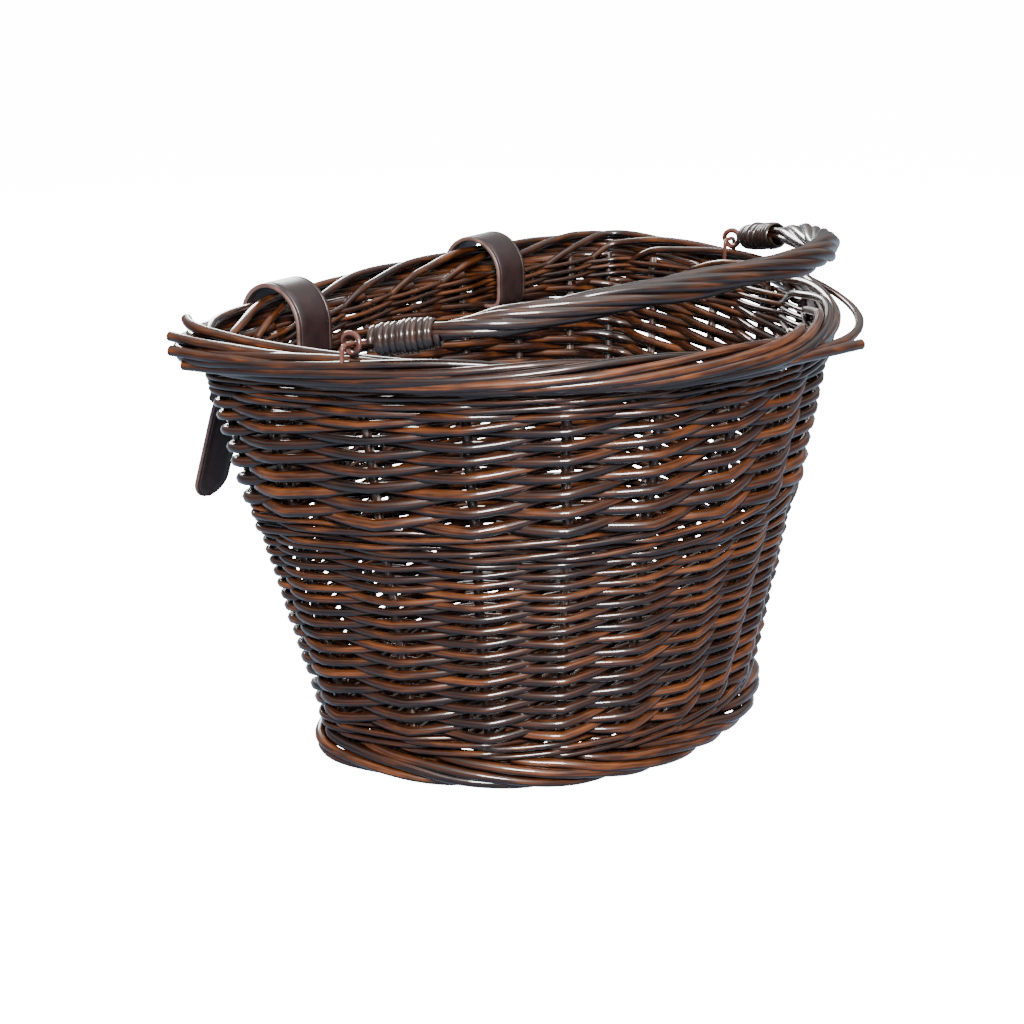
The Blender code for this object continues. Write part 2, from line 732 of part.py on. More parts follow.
make_body(WILLOW, WEAVE)
make_handle(WILLOW, BINDING)
for strap_side in (-1, 1):
    make_strap(strap_side, LEATHER)
    make_tail(strap_side, LEATHER)
    make_buckle(strap_side, STEEL)
    make_keeper(strap_side, LEATHER)
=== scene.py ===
"""Looks of the willow handlebar basket: its rods one by one, its leather and its metal.

Metres, +Z up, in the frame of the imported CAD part. The wall is described by three numbers: how many stakes
to the right of the nose as seen from outside, the height, and the distance out from the wall's middle.
"""
import json
import math

import bpy
import numpy as np
from mathutils import Matrix, Vector


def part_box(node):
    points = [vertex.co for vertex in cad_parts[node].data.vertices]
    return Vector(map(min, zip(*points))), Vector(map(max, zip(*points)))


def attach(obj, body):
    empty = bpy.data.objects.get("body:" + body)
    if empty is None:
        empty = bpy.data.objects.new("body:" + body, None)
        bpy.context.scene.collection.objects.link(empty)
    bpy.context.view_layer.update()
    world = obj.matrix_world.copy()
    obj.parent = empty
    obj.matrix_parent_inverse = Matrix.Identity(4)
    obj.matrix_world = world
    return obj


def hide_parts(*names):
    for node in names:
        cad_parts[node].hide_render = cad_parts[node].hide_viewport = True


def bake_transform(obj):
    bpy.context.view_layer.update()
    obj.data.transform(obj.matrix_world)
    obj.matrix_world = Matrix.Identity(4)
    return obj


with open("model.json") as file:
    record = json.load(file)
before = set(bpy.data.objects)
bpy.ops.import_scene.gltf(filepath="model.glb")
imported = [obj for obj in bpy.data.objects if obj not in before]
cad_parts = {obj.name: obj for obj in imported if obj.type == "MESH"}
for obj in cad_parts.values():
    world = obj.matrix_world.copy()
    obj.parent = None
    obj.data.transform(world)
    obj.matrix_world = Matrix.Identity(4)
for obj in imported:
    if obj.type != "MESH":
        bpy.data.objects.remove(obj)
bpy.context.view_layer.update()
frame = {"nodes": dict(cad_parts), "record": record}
RNG = np.random.default_rng(11)

# The basket's outline at the rim and at the base: straight back, superellipse front.
RIM_HALF_WIDTH = 0.200
RIM_DEPTH = 0.2713
RIM_POWER = 1.89
RIM_BOW = 0.0365
BASE_HALF_WIDTH = 0.1512
BASE_DEPTH = 0.166
BASE_POWER = 2.09
BASE_BOW = 0.0521
BASE_SETBACK = -0.0504
RIM_TOP = 0.2503
NOSE_RISE = 0.0055
WALL_INSET = 0.0075
CORNER_PASSES = 14
OUTLINE_POINTS = 300
LEVEL_STEP = 0.01
LEVEL_COUNT = 28

# The woven bands, bottom to top.
FOOT_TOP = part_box("foot_border")[1].z
UPSETT_TOP = 0.029
LOWER_RAND_TOP = 0.139
MIDDLE_WALE_TOP = 0.154
UPPER_RAND_TOP = 0.222
WALL_TOP = 0.2313

# Stakes, spaced by fractions of the way round.
FRONT_STAKE_STEP = 0.0385
FRONT_STAKE_GROWTH = 0.0015
BACK_STAKE_STEP = 0.0425
CORNER_STAKE = 0.1785
STAKE_RADIUS = 0.0028

# Weave: how many samples a rod has between two stakes, and how hard it presses on them.
SAMPLES = 12
PRESS = 0.0004

# Rolled borders. Runs, hooks, reaches and places along the wall are in stakes, counted from the nose to
# the right as seen from outside; the left corner is at CORNER_AT. BORDER_PULL draws the border in where it
# turns round the nose. A loose rod has its start and end, the heights and the distances outwards of its
# two ends, how far it bows out between them, how far it sags, and how far it runs on past its start.
BORDER_HALF_WIDTH = 0.011
BORDER_HALF_HEIGHT = 0.0095
BORDER_ROD_RADIUS = 0.0027
BORDER_RUN = 6.8
BORDER_PULL = 0.0105
BORDER_PULL_AT = 1.6
BORDER_PULL_REACH = 1.9
FOOT_ROD_RADIUS = 0.0029
FOOT_HALF_WIDTH = 0.0098
FOOT_RUN = 4.2
FOOT_HOOK = 0.42
FOOT_HOOK_RISE = 0.0045
FOOT_CORE_HEIGHTS = (0.0055, 0.0110, 0.0165)
CORNER_AT = 16.0
LOOSE_RODS = (
    (CORNER_AT + 0.45, CORNER_AT + 3.6, 0.2445, 0.2440, 0.0165, 0.0060, 0.0, 0.0, 0.018),
    (CORNER_AT + 0.30, CORNER_AT + 3.1, 0.2500, 0.2450, 0.0120, 0.0030, 0.0, 0.0, 0.016),
    (CORNER_AT + 0.55, CORNER_AT + 2.8, 0.2375, 0.2400, 0.0140, 0.0060, 0.0, 0.0, 0.018),
    (CORNER_AT - 0.10, CORNER_AT + 3.4, 0.2570, 0.2460, 0.0060, -0.0010, -0.0040, 0.0030, 0.002),
    (CORNER_AT + 0.10, CORNER_AT + 2.9, 0.2530, 0.2440, 0.0020, -0.0020, -0.0030, 0.0020, 0.003),
    (-0.3, 3.4, 0.2380, 0.2490, 0.0040, 0.0040, 0.0145, 0.0045, 0.0),
    (-0.4, -5.0, 0.2385, 0.2440, 0.0140, 0.0150, 0.0, 0.0, 0.052),
)

# Base.
BASE_STICK_RADIUS = 0.003
BASE_ROD_RADIUS = 0.0021
BASE_WAVE = 0.0028
BASE_OVERRUN = 0.006

# Handle.
PIVOT_X = 0.182
HANDLE_REACH = 0.162
HANDLE_REST_DEG = 12.0
HANDLE_SPREAD = 1.667
HANDLE_ARCH = 1.081
HANDLE_POINTS = 400
HANDLE_ROUNDING_PASSES = 400
BOUND_END_REACH = 0.0165
WHIPPING_LENGTH = 0.036
WHIPPING_OVERHANG = 0.004
WHIPPING_RADIUS = 0.0088
WHIPPING_TURNS = 12
WHIPPING_ROD_RADIUS = 0.00172
WHIPPING_ROD_SINK = 0.0013
WHIPPING_MARGIN = 0.0015
BOW_RODS = 6
BOW_ROD_RADIUS = 0.0031
BOW_CORE = 0.0047
BOW_BOUND_CORE = 0.0032
BOW_PITCH = 0.19
RING_MEAN_RADIUS = 0.0052
RING_WIRE_RADIUS = 0.0016
RING_LEAD = 0.0018
RING_SHANK_RADIUS = 0.0012
RING_SHANK_REACH = 0.006
RING_SHANK_SPREAD = 0.0013
STAPLE_HALF_WIDTH = 0.0055
STAPLE_WIRE_RADIUS = 0.0013
STAPLE_CROWN = 0.004
STAPLE_LEG = 0.012

# Straps.
STRAP_X = 0.0925
STRAP_WIDTH = 0.028
STRAP_THICKNESS = 0.003
SEAT_TOP = Vector((0.0, 0.046, 0.236))
SEAT_END = Vector((0.0, 0.055, 0.216))
TAIL_HINGE = Vector((0.0, 0.076, 0.174))
TAIL_TIP = Vector((0.0, 0.098, 0.113))
WEAVE_SLOT_Z = 0.2155
INNER_RUN_Y = 0.0012
INNER_BEND = 0.006
CREST_Z = 0.2578
CREST_BASE_Z = 0.235
EDGE_INSETS = (0.0, 0.0003, 0.0009, 0.0016, 0.0022, 0.0026, 0.0030, 0.007, 0.0105)
EDGE_HEIGHTS = (0.0, 0.6, 0.93, 1.0, 1.0, 0.74, 1.0, 1.0, 1.0)
CREASE_INSET = 2.6
FIRST_HOLE = 0.005
HOLE_SPACING = 0.010
HOLE_COUNT = 2
HOLE_RADIUS = 0.0022
HEEL_BAR_ALONG = 0.024
HEEL_BAR_OUT = -0.006
NOSE_BAR_ALONG = 0.006
NOSE_BAR_OUT = 0.0045
BUCKLE_HALF_WIDTH = 0.0168
BUCKLE_WIRE_RADIUS = 0.0013
BUCKLE_CORNER = 0.002
PRONG_RADIUS = 0.0012
KEEPER_ALONG = 0.035
KEEPER_HEIGHT = 0.008
KEEPER_WALL = 0.002
KEEPER_PLAY = 0.0008
KEEPER_CORNER = 0.0016
PRONG_OVERHANG = 0.003
PRONG_SLOT_WIDTH = 0.0046
FOLD_SLOT = Vector((PRONG_SLOT_WIDTH, 0.0092, 0.011))
PRONG_HOLE = Vector((PRONG_SLOT_WIDTH, 0.005, 0.0195))
PRONG_HOLE_ALONG = HEEL_BAR_ALONG - 0.0062
GAP = 0.0003

# Stain colours, from darkest to lightest. The stain's grain, its patches and each rod's tone move a rod
# along them, and so do painted shade under a rod and painted light on its top.
WILLOW_STOPS = ((0.40, (0.0010, 0.0008, 0.0014)), (0.60, (0.0055, 0.0024, 0.0020)),
                (0.71, (0.025, 0.0072, 0.0022)), (0.86, (0.12, 0.037, 0.010)))
STAKE_STOPS = ((0.40, (0.0015, 0.001, 0.0015)), (0.60, (0.008, 0.005, 0.005)),
               (0.73, (0.030, 0.016, 0.012)), (0.80, (0.30, 0.23, 0.20)))
WEAVE_STOPS = ((0.40, (0.0010, 0.0008, 0.0015)), (0.60, (0.0055, 0.0023, 0.0020)),
               (0.71, (0.027, 0.0070, 0.0019)), (0.86, (0.13, 0.038, 0.009)))
BINDING_STOPS = ((0.40, (0.0015, 0.001, 0.001)), (0.60, (0.008, 0.004, 0.003)),
                 (0.73, (0.028, 0.012, 0.008)), (0.86, (0.12, 0.07, 0.05)))
BARK_STOPS = ((0.40, (0.004, 0.0015, 0.0015)), (0.60, (0.035, 0.010, 0.007)),
              (0.73, (0.085, 0.028, 0.019)), (0.86, (0.19, 0.085, 0.065)))

# Camera and light. A softbox has its name, its place, the side of its square and its power.
CAMERA_PLACE = Vector((-0.8425, -0.7212, 0.4761))
CAMERA_FORWARD = Vector((0.7491, 0.5781, -0.3235))
CAMERA_UP = Vector((0.2561, 0.1977, 0.9462))
CAMERA_LENS = 64.7
WORLD_STRENGTH = 2.0
BACKDROP = 8.0
FLOOR_GLOW = 16.0
LIGHT_TARGET = (0.0, -0.1, 0.12)
SOFTBOXES = (("key", (-1.3, -1.2, 1.25), 0.5, 135),
             ("top", (0.1, -0.5, 1.9), 1.4, 12),
             ("back", (1.0, 1.4, 0.9), 0.8, 50))


# ---------------- the wall's surface

def even_points(line, count, closed):
    """Return evenly spaced points along a plane line; a closed line already repeats its first point."""
    steps = np.linalg.norm(np.diff(line, axis=0), axis=1)
    travelled = np.append(0.0, np.cumsum(steps))
    wanted = np.linspace(0.0, travelled[-1], count, endpoint=not closed)
    return np.column_stack([np.interp(wanted, travelled, line[:, axis]) for axis in (0, 1)])


def averaged(line, passes, closed):
    """Return a line rounded by repeated averaging of neighbours; open ends stay where they are."""
    ends = line[[0, -1]].copy()
    for _ in range(passes):
        line = (np.roll(line, 1, axis=0) + 2 * line + np.roll(line, -1, axis=0)) / 4
        if not closed:
            line[[0, -1]] = ends
    return line


def outline(height, offset):
    """Return the closed plan outline at a height, starting at the nose and going to the left."""
    share = height / RIM_TOP
    half_width = BASE_HALF_WIDTH + (RIM_HALF_WIDTH - BASE_HALF_WIDTH) * share + offset
    depth = BASE_DEPTH + (RIM_DEPTH - BASE_DEPTH) * share + 2 * offset
    power = BASE_POWER + (RIM_POWER - BASE_POWER) * share
    bow = BASE_BOW + (RIM_BOW - BASE_BOW) * share
    back_y = BASE_SETBACK * (1 - share) + offset
    angle = np.linspace(0.0, math.pi / 2, 100)
    side_x = half_width * np.sin(angle) ** (2 / power)
    side_y = back_y - depth * np.cos(angle) ** (2 / power)
    back_x = np.linspace(-half_width, half_width, 61)[1:-1]
    back_curve = back_y + bow * (1 - (back_x / half_width) ** 2)
    loop = np.column_stack((np.concatenate((-side_x, back_x, side_x[::-1])),
                            np.concatenate((side_y, back_curve, side_y[::-1]))))
    return averaged(even_points(loop, OUTLINE_POINTS, True), CORNER_PASSES, True)


def outward(loop):
    """Return the outward directions of a closed outline that runs clockwise seen from above."""
    along = np.roll(loop, -2, axis=0) - np.roll(loop, 2, axis=0)
    out = np.column_stack((-along[:, 1], along[:, 0]))
    return out / np.linalg.norm(out, axis=1)[:, None]


def stake_fractions():
    """Return the stakes' places round the wall from the nose, and the nose again at 1."""
    fractions = [0.0, 1.0]
    for step in range(1, 7):
        away = FRONT_STAKE_STEP * step + FRONT_STAKE_GROWTH * step * step
        fractions += [away, 1.0 - away]
    for step in range(4):
        away = BACK_STAKE_STEP * (step + 0.5)
        fractions += [0.5 - away, 0.5 + away]
    fractions += [0.5 - CORNER_STAKE, 0.5 + CORNER_STAKE]
    return np.array(sorted(fractions))


WALL_LOOPS = np.array([outline(LEVEL_STEP * level, -WALL_INSET) for level in range(LEVEL_COUNT)])
WALL_OUT = np.array([outward(loop) for loop in WALL_LOOPS])
STAKE_LINE = stake_fractions()
STAKE_COUNT = len(STAKE_LINE) - 1


def fraction_at(stakes):
    """Return the fraction of the outline that lies a number of stakes to the right of the nose."""
    turns = np.floor(stakes / STAKE_COUNT)
    return -np.interp(stakes - turns * STAKE_COUNT, np.arange(STAKE_COUNT + 1), STAKE_LINE)


def on_wall(stakes, height, out):
    """Return points on the wall and the outward directions there."""
    stakes, height, out = np.broadcast_arrays(np.asarray(stakes, float), height, out)
    level = np.clip(height / LEVEL_STEP, 0.0, LEVEL_COUNT - 1.001)
    row = level.astype(int)
    place = (fraction_at(stakes) % 1.0) * OUTLINE_POINTS
    column = place.astype(int) % OUTLINE_POINTS
    after = (column + 1) % OUTLINE_POINTS
    up = (level - row)[:, None]
    along = (place - np.floor(place))[:, None]
    mixed = []
    for table in (WALL_LOOPS, WALL_OUT):
        low = table[row, column] * (1 - along) + table[row, after] * along
        high = table[row + 1, column] * (1 - along) + table[row + 1, after] * along
        mixed.append(low * (1 - up) + high * up)
    plan, direction = mixed
    direction = direction / np.linalg.norm(direction, axis=1)[:, None]
    plan = plan + direction * out[:, None]
    forward = np.clip(-plan[:, 1] / RIM_DEPTH, 0.0, 1.1)
    rise = (height / RIM_TOP) ** 2 * NOSE_RISE * forward ** 2
    points = np.column_stack((plan, height + rise))
    return points, np.column_stack((direction, np.zeros(len(points))))


# ---------------- rods

class RodMesh:
    """Collects round rods and makes one mesh of them."""

    def __init__(self, sides=8):
        self.sides = sides
        self.points = []
        self.grain = []
        self.tone = []
        self.faces = []
        self.caps = []
        self.count = 0

    def add(self, line, radius, reference, flat=1.0, tone=None):
        """Add a rod along a line; flat squeezes it along the reference direction."""
        line = np.asarray(line, float)
        reference = np.broadcast_to(np.asarray(reference, float), line.shape)
        radius = np.broadcast_to(np.asarray(radius, float), len(line))[:, None]
        along = np.gradient(line, axis=0)
        side = np.cross(reference, along)
        side /= np.linalg.norm(side, axis=1)[:, None]
        up = np.cross(along, side)
        up /= np.linalg.norm(up, axis=1)[:, None]
        travelled = np.append(0.0, np.cumsum(np.linalg.norm(np.diff(line, axis=0), axis=1)))
        start = self.count
        for number in range(self.sides):
            angle = math.tau * number / self.sides
            across = math.cos(angle) * radius
            high = math.sin(angle) * radius
            self.points.append(line + side * across + up * high * flat)
            self.grain.append(np.column_stack((travelled, across, high)))
        self.tone.append(np.full(len(line) * self.sides, RNG.random() if tone is None else tone))
        self.count += len(line) * self.sides
        ring = start + np.arange(self.sides) * len(line)
        after = np.roll(ring, -1)
        step = np.arange(len(line) - 1)[:, None]
        quads = np.stack((ring + step, after + step, after + step + 1, ring + step + 1), axis=-1)
        self.faces.append(quads.reshape(-1, 4))
        self.caps.append(ring[::-1].tolist())
        self.caps.append((ring + len(line) - 1).tolist())

    def build(self, name, material, body, nodes):
        """Make the piece, put it on its body and let it stand for its CAD nodes."""
        faces = np.concatenate(self.faces).tolist() + self.caps
        obj = new_piece(name, np.concatenate(self.points), faces, 60, material,
                        {"grain": np.concatenate(self.grain), "tone": np.concatenate(self.tone)})
        dress(obj, body, nodes)


def new_piece(name, points, faces, sharp_degrees, material, attributes):
    """Make a smooth piece, sharp where its faces meet steeply, with attributes for its material."""
    mesh = bpy.data.meshes.new(name)
    mesh.from_pydata(points, [], faces)
    mesh.shade_smooth()
    mesh.set_sharp_from_angle(angle=math.radians(sharp_degrees))
    for label, values in attributes.items():
        kind, field = ("FLOAT_VECTOR", "vector") if values.ndim == 2 else ("FLOAT", "value")
        stored = mesh.attributes.new(label, kind, "POINT")
        stored.data.foreach_set(field, values.astype(np.float32).ravel())
    mesh.materials.append(material)
    obj = bpy.data.objects.new(name, mesh)
    bpy.context.scene.collection.objects.link(obj)
    return obj


def dress(obj, body, nodes):
    """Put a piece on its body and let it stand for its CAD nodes."""
    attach(obj, body)
    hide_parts(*nodes)


def wander(count, step, amount):
    """Return smooth random offsets that change direction about every step points."""
    knots = RNG.normal(0.0, amount, count // step + 3)
    place = np.arange(count) / step
    low = place.astype(int)
    blend = 0.5 - 0.5 * np.cos(math.pi * (place - low))
    return knots[low] * (1 - blend) + knots[low + 1] * blend


def rod_width(count, radius, step=30):
    """Return a rod's radius along its length, with slow natural variation."""
    return radius * (1.0 + wander(count, step, 0.035) + wander(count, 7, 0.012))


# ---------------- woven bands

def stroke_samples(start, end):
    """Return even samples of a stretch of stakes, with one on every stake."""
    return np.arange(round(start * SAMPLES), round(end * SAMPLES) + 1) / SAMPLES


def make_rand(name, bottom, top, rounds, taper, fill, material):
    """Weave one French rand: every rod passes in front of a stake and behind the next, and climbs.

    A rod rises little as it comes out to a stake, bends there and rises more to the right behind the
    next stake. The rods are thickest at the bottom; taper is the share of their size left at the top,
    and fill is the share of a round's height that a rod takes up.
    """
    first_pitch = (top - bottom) / (fill * (1 + taper) / 2 + rounds * (1 + taper) / 2)

    def pitch(turns):
        return first_pitch * (1 - (1 - taper) * np.clip(turns, 0, rounds) / rounds)

    travelled = stroke_samples(-0.75, 2 * rounds + 1)
    count = len(travelled)
    turns = travelled / 2
    whole = np.floor(turns)
    share = turns - whole
    level = whole + 0.7 * np.minimum(2 * share, 1.0) + 0.3 * np.maximum(2 * share - 1, 0.0)
    level = np.where(turns < 0, 0.0, np.minimum(level, rounds))
    radius = fill * pitch(turns) / 2
    climbed = first_pitch * (level - (1 - taper) * level ** 2 / (2 * rounds))
    rise = bottom + fill * first_pitch / 2 + climbed
    swing = 0.4 * np.cos(math.pi * travelled) + 0.6 * (2 * np.abs(travelled % 2 - 1) - 1)
    swing = swing * (STAKE_RADIUS + radius - PRESS)
    rods = RodMesh()
    for first in range(STAKE_COUNT):
        height = rise + wander(count, SAMPLES, 0.00035)
        out = swing + wander(count, SAMPLES, 0.0003)
        line, reference = on_wall(first + travelled, height, out)
        rods.add(line, radius * rod_width(count, 1.0), reference)
    rods.build(f"{name}_rods", material, "basket", [name])


def make_wale(name, bottom, top, rounds, fill, material):
    """Weave closed rounds of three rods; each passes in front of two stakes and behind one."""
    pitch = (top - bottom) / rounds
    radius = fill * pitch / 4
    travelled = stroke_samples(0, STAKE_COUNT + 1)
    count = len(travelled)
    phase = math.tau * (travelled / 3 - 0.5)
    out = np.clip(1 / 3 + 4 / 3 * np.cos(phase), -1.0, 1.1) * (STAKE_RADIUS + radius)
    sway = 0.29 * pitch * np.sin(phase)
    rods = RodMesh()
    for turn in range(rounds):
        for lead in range(3):
            height = bottom + pitch * (turn + 0.5) + sway + wander(count, SAMPLES, 0.0003)
            line, reference = on_wall(lead + 5 * turn + travelled, height, out)
            rods.add(line, rod_width(count, radius), reference)
    rods.build(f"{name}_rods", material, "basket", [name])


def make_stakes(material):
    """Make the upright stakes."""
    rods = RodMesh()
    count = 40
    height = np.linspace(FOOT_TOP * 0.5, WALL_TOP + 0.006, count)
    for number in range(STAKE_COUNT):
        across = number + wander(count, 8, 0.012)
        line, reference = on_wall(across, height, wander(count, 8, 0.0003))
        rods.add(line, rod_width(count, STAKE_RADIUS, 10), reference)
    names = [f"stake_{number:02d}" for number in range(1, STAKE_COUNT + 1)]
    rods.build("stakes", material, "basket", names)


# ---------------- rolled borders

def make_rim_border(material):
    """Roll the rim border: each stake's end leans right, climbs outside, crosses over and tucks in."""
    rods = RodMesh(sides=10)
    count = 96
    share = np.linspace(0.0, 1.0, count)
    turn = np.interp(share, (0.0, 0.12, 0.74, 1.0), (-130.0, -60.0, 95.0, 225.0))
    turn = np.radians(averaged(turn[:, None], 60, False)[:, 0])
    crest = np.exp(-((turn - math.radians(85.0)) / math.radians(38.0)) ** 2)
    for first in range(STAKE_COUNT):
        along = first + BORDER_RUN * share
        thick = BORDER_ROD_RADIUS * (1.12 - 0.3 * share)
        wide = BORDER_HALF_WIDTH - thick + wander(count, 15, 0.0005)
        high = BORDER_HALF_HEIGHT - 0.0012 - thick + 0.0021 * crest + wander(count, 15, 0.0003)
        swing = turn + wander(count, 20, 0.06)
        from_pull = np.mod(along - BORDER_PULL_AT + STAKE_COUNT / 2, STAKE_COUNT) - STAKE_COUNT / 2
        pull = np.exp(-(from_pull / BORDER_PULL_REACH) ** 4)
        out = WALL_INSET + wide * np.cos(swing) - BORDER_PULL * pull
        height = WALL_TOP + BORDER_HALF_HEIGHT + high * np.sin(swing)
        out = out * np.clip(share / 0.07, 0.0, 1.0)
        tuck = np.clip((share - 0.86) / 0.14, 0.0, 1.0) ** 2
        out = out * (1 - tuck) + 0.001 * tuck
        height = height * (1 - tuck) + (WALL_TOP - 0.006) * tuck
        line, reference = on_wall(along, height, out)
        rods.add(line, rod_width(count, 1.0) * thick, reference)
    for rod in LOOSE_RODS:
        line, reference, thick = loose_rod(*rod)
        rods.add(line, thick, reference, tone=0.5)
    rods.build("rim_border_rods", material, "basket", ["rim_border"])


def loose_rod(start, end, low, high, near, far, bow, sag, overrun):
    """Return the line, the reference and the radii of a rod that lies on the border, thinner at its end."""
    count = 50
    share = np.linspace(0.0, 1.0, count)
    arch = np.sin(math.pi * share)
    along = start + (end - start) * share
    height = low + (high - low) * share - sag * arch
    line, reference = on_wall(along, height, near + (far - near) * share + bow * arch)
    thick = BORDER_ROD_RADIUS * (1.08 - 0.5 * share ** 2) * rod_width(count, 1.0, 9)
    if overrun:
        away = (line[0] - line[2]) / np.linalg.norm(line[0] - line[2])
        reach = np.linspace(overrun, 0.001, 10)[:, None]
        line = np.concatenate((line[0] + away * reach, line))
        reference = np.concatenate((np.repeat(reference[:1], 10, axis=0), reference))
        thick = np.concatenate((np.full(10, thick[0]), thick))
    return line, reference, thick


def make_foot_border(material):
    """Roll the foot: each rod hooks round by its stake, slants down to the right and ends below."""
    rods = RodMesh(sides=10)
    count = 70
    share = np.linspace(0.0, 1.0, count)
    middle = FOOT_TOP / 2
    turn = np.interp(share, (0.0, 0.12, 0.6, 0.85, 1.0), (130.0, 75.0, -15.0, -75.0, -150.0))
    turn = np.radians(averaged(turn[:, None], 40, False)[:, 0])
    for first in range(STAKE_COUNT):
        thick = FOOT_ROD_RADIUS * (1.1 - 0.25 * share)
        wide = FOOT_HALF_WIDTH - thick + wander(count, 12, 0.0008)
        high = middle - thick + 0.0004 + wander(count, 12, 0.0004)
        swing = turn + wander(count, 14, 0.09)
        out = 0.0035 + wide * np.cos(swing)
        height = np.maximum(middle + high * np.sin(swing), thick)
        hook = np.exp(-share / 0.035)
        along = first + RNG.normal(0.0, 0.06) + FOOT_RUN * share + FOOT_HOOK * hook
        line, reference = on_wall(along, height + FOOT_HOOK_RISE * hook, out)
        rods.add(line, rod_width(count, 1.0) * thick, reference)
    for height in FOOT_CORE_HEIGHTS:
        line, reference = on_wall(stroke_samples(0, STAKE_COUNT + 0.3), height, -0.003)
        rods.add(line, rod_width(len(line), FOOT_ROD_RADIUS), reference)
    rods.build("foot_border_rods", material, "basket", ["foot_border"])


# ---------------- base

def base_edge(across):
    """Return the back and the front Y of the base's weave at each X."""
    loop = outline(FOOT_TOP, -WALL_INSET - 0.003)
    half = OUTLINE_POINTS // 2
    left = loop[:half + 1]
    widest = left[:, 0].argmin()
    front = np.interp(-np.abs(across), left[:widest + 1][::-1, 0], left[:widest + 1][::-1, 1])
    back = np.interp(-np.abs(across), left[widest:, 0], left[widest:, 1])
    return back, front


def make_base(willow, weave):
    """Weave the base over and under its sticks."""
    low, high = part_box("base_weave")
    middle = (low.z + high.z) / 2
    count = 20
    sticks = RodMesh()
    stick_nodes = [node for node in frame["nodes"] if node.startswith("base_stick")]
    for node in stick_nodes:
        start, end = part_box(node)
        x = (start.x + end.x) / 2
        y = np.linspace(start.y, end.y, count)
        line = np.column_stack((np.full(count, x), y, np.full(count, middle)))
        sticks.add(line, rod_width(count, BASE_STICK_RADIUS, 8), (0, 0, 1))
    sticks.build("base_sticks", willow, "basket", stick_nodes)
    rods = RodMesh()
    spacing = abs(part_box(stick_nodes[0])[0].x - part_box(stick_nodes[1])[0].x)
    row = 0
    for y in np.arange(low.y - BASE_OVERRUN, high.y + BASE_OVERRUN, 1.7 * BASE_ROD_RADIUS):
        x = np.linspace(low.x - BASE_OVERRUN, high.x + BASE_OVERRUN, 130)
        back, front = base_edge(x)
        x = x[(y < back) & (y > front)]
        if len(x) < 6:
            continue
        weave_phase = math.pi * x / spacing + math.pi * row
        z = middle + BASE_WAVE * np.cos(weave_phase)
        line = np.column_stack((x, np.full(len(x), y) + wander(len(x), 15, 0.0003), z))
        rods.add(line, rod_width(len(x), BASE_ROD_RADIUS), (0, 0, 1))
        row += 1
    rods.build("base_weave_rods", weave, "basket", ["base_weave"])


# ---------------- handle

def joint(name):
    """Return a joint of the record."""
    return next(entry for entry in frame["record"]["behaviour"]["joints"] if entry["name"] == name)


def handle_line():
    """Return the bow's centre line in its own plane, from the right end to the left, evenly spaced."""
    angle = np.linspace(0.0, math.pi, HANDLE_POINTS)
    x = PIVOT_X * np.sign(np.cos(angle)) * np.abs(np.cos(angle)) ** HANDLE_SPREAD
    y = -HANDLE_REACH * np.sin(angle) ** HANDLE_ARCH
    line = even_points(np.column_stack((x, y)), HANDLE_POINTS, False)
    line = averaged(line, HANDLE_ROUNDING_PASSES, False)
    line = line[-line[:, 1] >= BOUND_END_REACH]
    from_right = np.linalg.norm(line - line[0], axis=1)
    from_left = np.linalg.norm(line - line[-1], axis=1)
    free = line[np.minimum(from_right, from_left) > WHIPPING_LENGTH]
    whole = np.concatenate((line[:1], free, line[-1:]))
    return even_points(whole, 220, False)


def handle_place(local):
    """Turn points of the bow's plane into the frame, at the handle's rest angle."""
    local = np.asarray(local, float)
    if local.shape[1] == 2:
        local = np.column_stack((local, np.zeros(len(local))))
    turn = Matrix.Rotation(-math.radians(HANDLE_REST_DEG), 3, "X")
    pivot = np.array(joint("handle_swing")["pos_m"])
    return local @ np.array(turn).T + pivot


def handle_vectors(local):
    """Turn directions of the bow's plane into the frame."""
    return handle_place(local) - handle_place(np.zeros((1, 3)))


def make_bow(material):
    """Twist the rods of the bow round its centre line."""
    line = handle_line()
    steps = np.linalg.norm(np.diff(line, axis=0), axis=1)
    travelled = np.append(0.0, np.cumsum(steps))
    along = np.gradient(line, axis=0)
    along /= np.linalg.norm(along, axis=1)[:, None]
    inwards = np.column_stack((-along[:, 1], along[:, 0], np.zeros(len(line))))
    upright = np.array((0.0, 0.0, 1.0))
    centre = np.column_stack((line, np.zeros(len(line))))
    from_end = np.minimum(travelled, travelled[-1] - travelled)
    grown = np.clip((from_end - WHIPPING_LENGTH + 0.004) / 0.035, 0.0, 1.0)
    grown = grown * grown * (3 - 2 * grown)
    radius = BOW_ROD_RADIUS * (0.72 + 0.28 * grown)
    ring = BOW_BOUND_CORE + (BOW_CORE - BOW_BOUND_CORE) * grown
    count = len(line)
    rods = RodMesh(sides=12)
    for number in range(BOW_RODS):
        angle = math.tau * number / BOW_RODS + math.tau * travelled / BOW_PITCH + wander(count, 30, 0.08)
        spoke = inwards * np.cos(angle)[:, None] + upright * np.sin(angle)[:, None]
        wide = ring + wander(count, 25, 0.0006)
        rods.add(handle_place(centre + spoke * wide[:, None]), rod_width(count, 1.0) * radius,
                 handle_vectors(spoke))
    rods.add(handle_place(centre), ring * 0.9, handle_vectors([upright]))
    rods.build("handle_bow_rods", material, "handle", ["handle_bow"])


def bound_end(side):
    """Return one end of the bow and the direction away from the swing axis, in the bow's plane."""
    line = handle_line()
    near, after = (line[0], line[4]) if side > 0 else (line[-1], line[-5])
    near = np.append(near, 0.0)
    direction = np.append(after, 0.0) - near
    return near, direction / np.linalg.norm(direction)


